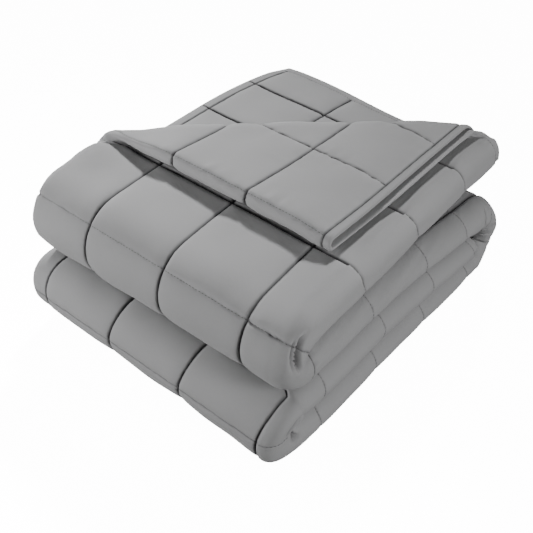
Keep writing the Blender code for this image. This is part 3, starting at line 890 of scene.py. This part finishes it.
def cloth_finish():
    material, place = new_material("grey cloth")
    cloth_map = place.node("ShaderNodeUVMap", {"uv_map": "cloth"}, {})
    # The attribute read here is painted shade, for the seams, slits and pleats.
    seam = place.node("ShaderNodeAttribute", {"attribute_name": "painted_crease_shade"}, {}, 2)
    pocket, nap, weave = place.noise(POCKET_SCALE, 2.0), place.noise(NAP_SCALE, 3.0), weave_height(cloth_map)
    mottle = 0.45 * pocket + 0.45 * nap + 0.10 * weave
    inputs = {
        "Base Color": blend_colours(seam, blend_colours(mottle, *GREYS), PAINTED_SHADE_GREY),
        "Roughness": 0.80 + 0.12 * nap,
        "Normal": (0.6 * weave + 0.4 * nap).bump(0.35, 0.0003),
        "Sheen Weight": 0.12,
        "Sheen Roughness": 0.5,
    }
    return set_shader(material, inputs)


cloth.data.materials.append(cloth_finish())
node_count = len(cloth.data.materials[0].node_tree.nodes)
print("cloth finish:", node_count, "nodes, threads", mm(THREAD), "mm apart")

# %% [markdown]
# ## Stitches
# A thread runs along every sewn line and shows as a row of short, tight stitches at the bottom of
# the seam. One stitch repeats thousands of times along a path, so Geometry Nodes lay them: a curve
# along each line, a point every few millimetres, and a small bead of thread on each point. An array
# along a curve would bend the beads, and beads placed one by one would be thousands of objects. A
# ray shot outwards finds where another layer covers the line, and no stitches are made there.

# %% The sewn lines that can be seen
CLEARANCE, RAY_START, STITCH_PROUD, IN_HEM = 0.008, 0.0012, 0.0001, 0.001
line_bm = bmesh.new()
line_bm.from_mesh(cloth.data)
cloth_tree = BVHTree.FromBMesh(line_bm)
line_bm.free()


def grid_normal(i, j):
    """The way out of the cloth's good face at a point of the grid."""
    along_it = good[min(i + 1, N - 1), j] - good[max(i - 1, 0), j]
    beside_it = good[i, min(j + 1, M - 1)] - good[i, max(j - 1, 0)]
    way = np.cross(along_it, beside_it)
    way = way / max(np.linalg.norm(way), 1e-9)
    return way if way @ (good[i, j] - back[i, j]) > 0 else -way


def seen_runs(places):
    """The stretches of a line, as lists of points, that no other layer lies on."""
    run = []
    for i, j in places:
        out = grid_normal(i, j)
        start = Vector(good[i, j] + RAY_START * out)
        if cloth_tree.ray_cast(start, Vector(out), CLEARANCE)[0] is None:
            run.append(good[i, j] + STITCH_PROUD * out)
            continue
        if len(run) > 2:
            yield run
        run = []
    if len(run) > 2:
        yield run


paths = [[(i, j) for i in np.flatnonzero(hem_v < IN_HEM)] for j in np.flatnonzero(col_line)]
for family, on_line in sta_line.items():
    members = np.flatnonzero((family_of == family) & (hem_u < IN_HEM))
    for i in np.flatnonzero(on_line):
        for part in np.split(members, np.flatnonzero(np.diff(members) > 1) + 1):
            paths.append([(i, j) for j in part])
line_points, line_edges = [], []
for path in paths:
    for run in seen_runs(path):
        line_edges += [(len(line_points) + k, len(line_points) + k + 1) for k in range(len(run) - 1)]
        line_points += run
print(len(paths), "sewn lines,", len(line_points), "points of them in the open")

# %% The node tree that lays the stitches
STITCH_SIZES = {"Stitch Length": 0.0030, "Stitch Spacing": 0.0042, "Thread Thickness": 0.0007}
SHORTEST, LONGEST, STITCH_SEED = 0.8, 1.15, 7  # in stitch lengths, and a seed
BEAD_TRIANGLES = 20


def stitch_nodes(material):
    """A tree that lays stitches along the edges of a mesh of lines."""
    tree = bpy.data.node_groups.new("stitches along a line", "GeometryNodeTree")
    tree.interface.new_socket("Geometry", in_out="INPUT", socket_type="NodeSocketGeometry")
    for name in STITCH_SIZES:
        tree.interface.new_socket(name, in_out="INPUT", socket_type="NodeSocketFloat")
    tree.interface.new_socket("Geometry", in_out="OUTPUT", socket_type="NodeSocketGeometry")
    given, result = tree.nodes.new("NodeGroupInput"), tree.nodes.new("NodeGroupOutput")
    lines, length, every, thick = (Sum(tree, given.outputs[k]) for k in range(4))
    curves = lines.node("GeometryNodeMeshToCurve", {}, {"Mesh": lines})
    points = curves.node("GeometryNodeCurveToPoints", {"mode": "LENGTH"}, {"Curve": curves, "Length": every})
    turned = Sum(tree, points.socket.node.outputs["Rotation"])
    bead = lines.node("GeometryNodeMeshIcoSphere", {}, {"Radius": 0.5, "Subdivisions": 1})
    spread_of_sizes = {2: SHORTEST, 3: LONGEST, "Seed": STITCH_SEED}
    vary = lines.node("FunctionNodeRandomValue", {"data_type": "FLOAT"}, spread_of_sizes, 1)
    size = lines.node("ShaderNodeCombineXYZ", {}, {0: thick, 1: thick, 2: length * vary})
    inputs = {"Points": points, "Instance": bead, "Rotation": turned, "Scale": size}
    laid = lines.node("GeometryNodeInstanceOnPoints", {}, inputs)
    real = lines.node("GeometryNodeRealizeInstances", {}, {0: laid})
    done = lines.node("GeometryNodeSetMaterial", {}, {"Geometry": real, "Material": material})
    tree.links.new(done.socket, result.inputs[0])
    return tree


# %% The thread's finish
# The thread's own grey, deepened by painted shade of the groove it lies in.
THREAD_AND_SHADE_GREYS = ((0.045, 0.045, 0.047, 1), (0.085, 0.085, 0.088, 1))
WORN_SCALE, TWIST_SCALE = 90.0, 2600.0


def thread_finish():
    """Twisted thread, its twist a fine bump. It is much darker than the cloth, as in the photograph: partly
    the thread's own grey, partly painted shade of the deep seam it lies in.
    """
    material, place = new_material("sewing thread")
    worn, twist = place.noise(WORN_SCALE, 2.0), place.noise(TWIST_SCALE, 1.0)
    inputs = {
        "Base Color": blend_colours(worn, *THREAD_AND_SHADE_GREYS),
        "Roughness": 0.55 + 0.20 * twist,
        "Normal": twist.bump(0.4, 0.0001),
    }
    return set_shader(material, inputs)


print("thread finish ready, greys", THREAD_AND_SHADE_GREYS[0][0], "to", THREAD_AND_SHADE_GREYS[1][0])

# %% From lines to stitches
line_mesh = bpy.data.meshes.new("sewn lines")
line_mesh.from_pydata(line_points, line_edges, [])
line_obj = add_object("sewn lines", line_mesh)
tree = stitch_nodes(thread_finish())
nodes = line_obj.modifiers.new("stitches", "NODES")
nodes.node_group = tree
for item in tree.interface.items_tree:
    if item.name in STITCH_SIZES:
        nodes[item.identifier] = STITCH_SIZES[item.name]
evaluated = line_obj.evaluated_get(bpy.context.evaluated_depsgraph_get())
stitch_mesh = bpy.data.meshes.new_from_object(evaluated)
stitches = add_object("seam_stitches", stitch_mesh)
bpy.data.objects.remove(line_obj)
print(len(stitch_mesh.polygons) // BEAD_TRIANGLES, "stitches,", len(stitch_mesh.polygons), "triangles")

# %% Put the cloth and its stitches in place of the solid
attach(stitches, "root")
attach(cloth, "root")
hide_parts("blanket")
print("pieces:", cloth.name, stitches.name)

# %% [markdown]
# ## The white room
# The blanket was photographed on white, where floor and wall run into each other. A pale floor and
# a pale dome round it give the same from every side. Both glow, so that they stay white, but only
# the camera sees the glow: a white room would light the folds from below and wash out their shade.

# %% A pale floor and a dome round it
FLOOR_WIDE, FLOOR_BELOW, DOME_RADIUS = 12, 0.0005, 14
PAPER = {
    "Base Color": (0.92, 0.92, 0.92, 1),
    "Roughness": 0.9,
    "Emission Color": (1, 1, 1, 1),
    "Emission Strength": 14.0,
}
bpy.ops.mesh.primitive_plane_add(size=FLOOR_WIDE, location=(0, 0, -FLOOR_BELOW))
floor = bpy.context.object
bpy.ops.mesh.primitive_uv_sphere_add(segments=48, ring_count=24, radius=DOME_RADIUS)
dome = bpy.context.object
floor.name, dome.name = "floor", "dome"
paper = set_shader(new_material("pale paper")[0], PAPER)
for sheet in (floor, dome):
    sheet.visible_diffuse = sheet.visible_glossy = False
    sheet.data.materials.append(paper)
dome.visible_shadow = False
print("floor", FLOOR_WIDE, "m wide, dome", DOME_RADIUS, "m in radius")

# %% [markdown]
# ## The lamps
# The main light comes from above and behind on the left. Its beam is narrow, which makes the far end
# a little darker, as in the photograph. Lower lamps in front and on the right open up the folds
# there. A bright sky would light every fold alike.

# %% Soft studio light
WORLD_LIGHT = 0.02
world = bpy.data.worlds.new("studio")
bpy.context.scene.world = world
world.use_nodes = True
plug(world.node_tree, world.node_tree.nodes["Background"], {0: (1, 1, 1, 1), 1: WORLD_LIGHT})


def area_light(name, place, aim, wide, high, power, spread=180):
    """A soft rectangular lamp at a place, turned to what it lights. The spread is in degrees."""
    light = bpy.data.lights.new(name, "AREA")
    light.shape, light.size, light.size_y, light.energy = "RECTANGLE", wide, high, power
    light.spread = math.radians(spread)
    lamp = add_object(name, light)
    lamp.location, lamp.visible_camera = place, False
    direction = np.array(aim) - np.array(place)
    direction = direction / np.linalg.norm(direction)
    heading = math.atan2(direction[0], -direction[1]) + math.pi
    lamp.rotation_euler = (math.acos(-direction[2]), 0, heading)


area_light("key light", (-1.9, 3.95, 4.08), (-0.15, -0.30, 0.20), 0.6, 0.6, 5.7, 14)
area_light("low front light", (-1.3, -1.4, 0.40), (-0.1, 0, 0.1), 0.8, 0.4, 54)
area_light("right light", (1.9, -0.2, 1.2), (0, 0, 0.1), 0.5, 0.5, 24)
area_light("low right light", (2.4, -0.3, 0.25), (0, 0, 0.1), 1.6, 0.3, 34)
print(len(bpy.data.lights), "lamps")

# %% [markdown]
# ## The camera
# The photograph was taken from above the right end of the near side. The camera's place, its turn
# and its lens were found by laying the model's outline over the photograph's.

# %% The camera
CAMERA_PLACE, LENS_MM = (0.46662, -0.60427, 0.67246), 50.82
LOOKS_DOWN, LOOKS_LEFT = 40.2136, 39.6549  # degrees
lens = bpy.data.cameras.new("camera")
lens.lens, lens.sensor_width = LENS_MM, 36
camera = add_object("camera", lens)
camera.location = CAMERA_PLACE
camera.rotation_euler = (math.radians(90 - LOOKS_DOWN), 0, math.radians(LOOKS_LEFT))
bpy.context.scene.camera = camera
print("camera", LENS_MM, "mm, looks down", LOOKS_DOWN, "degrees")
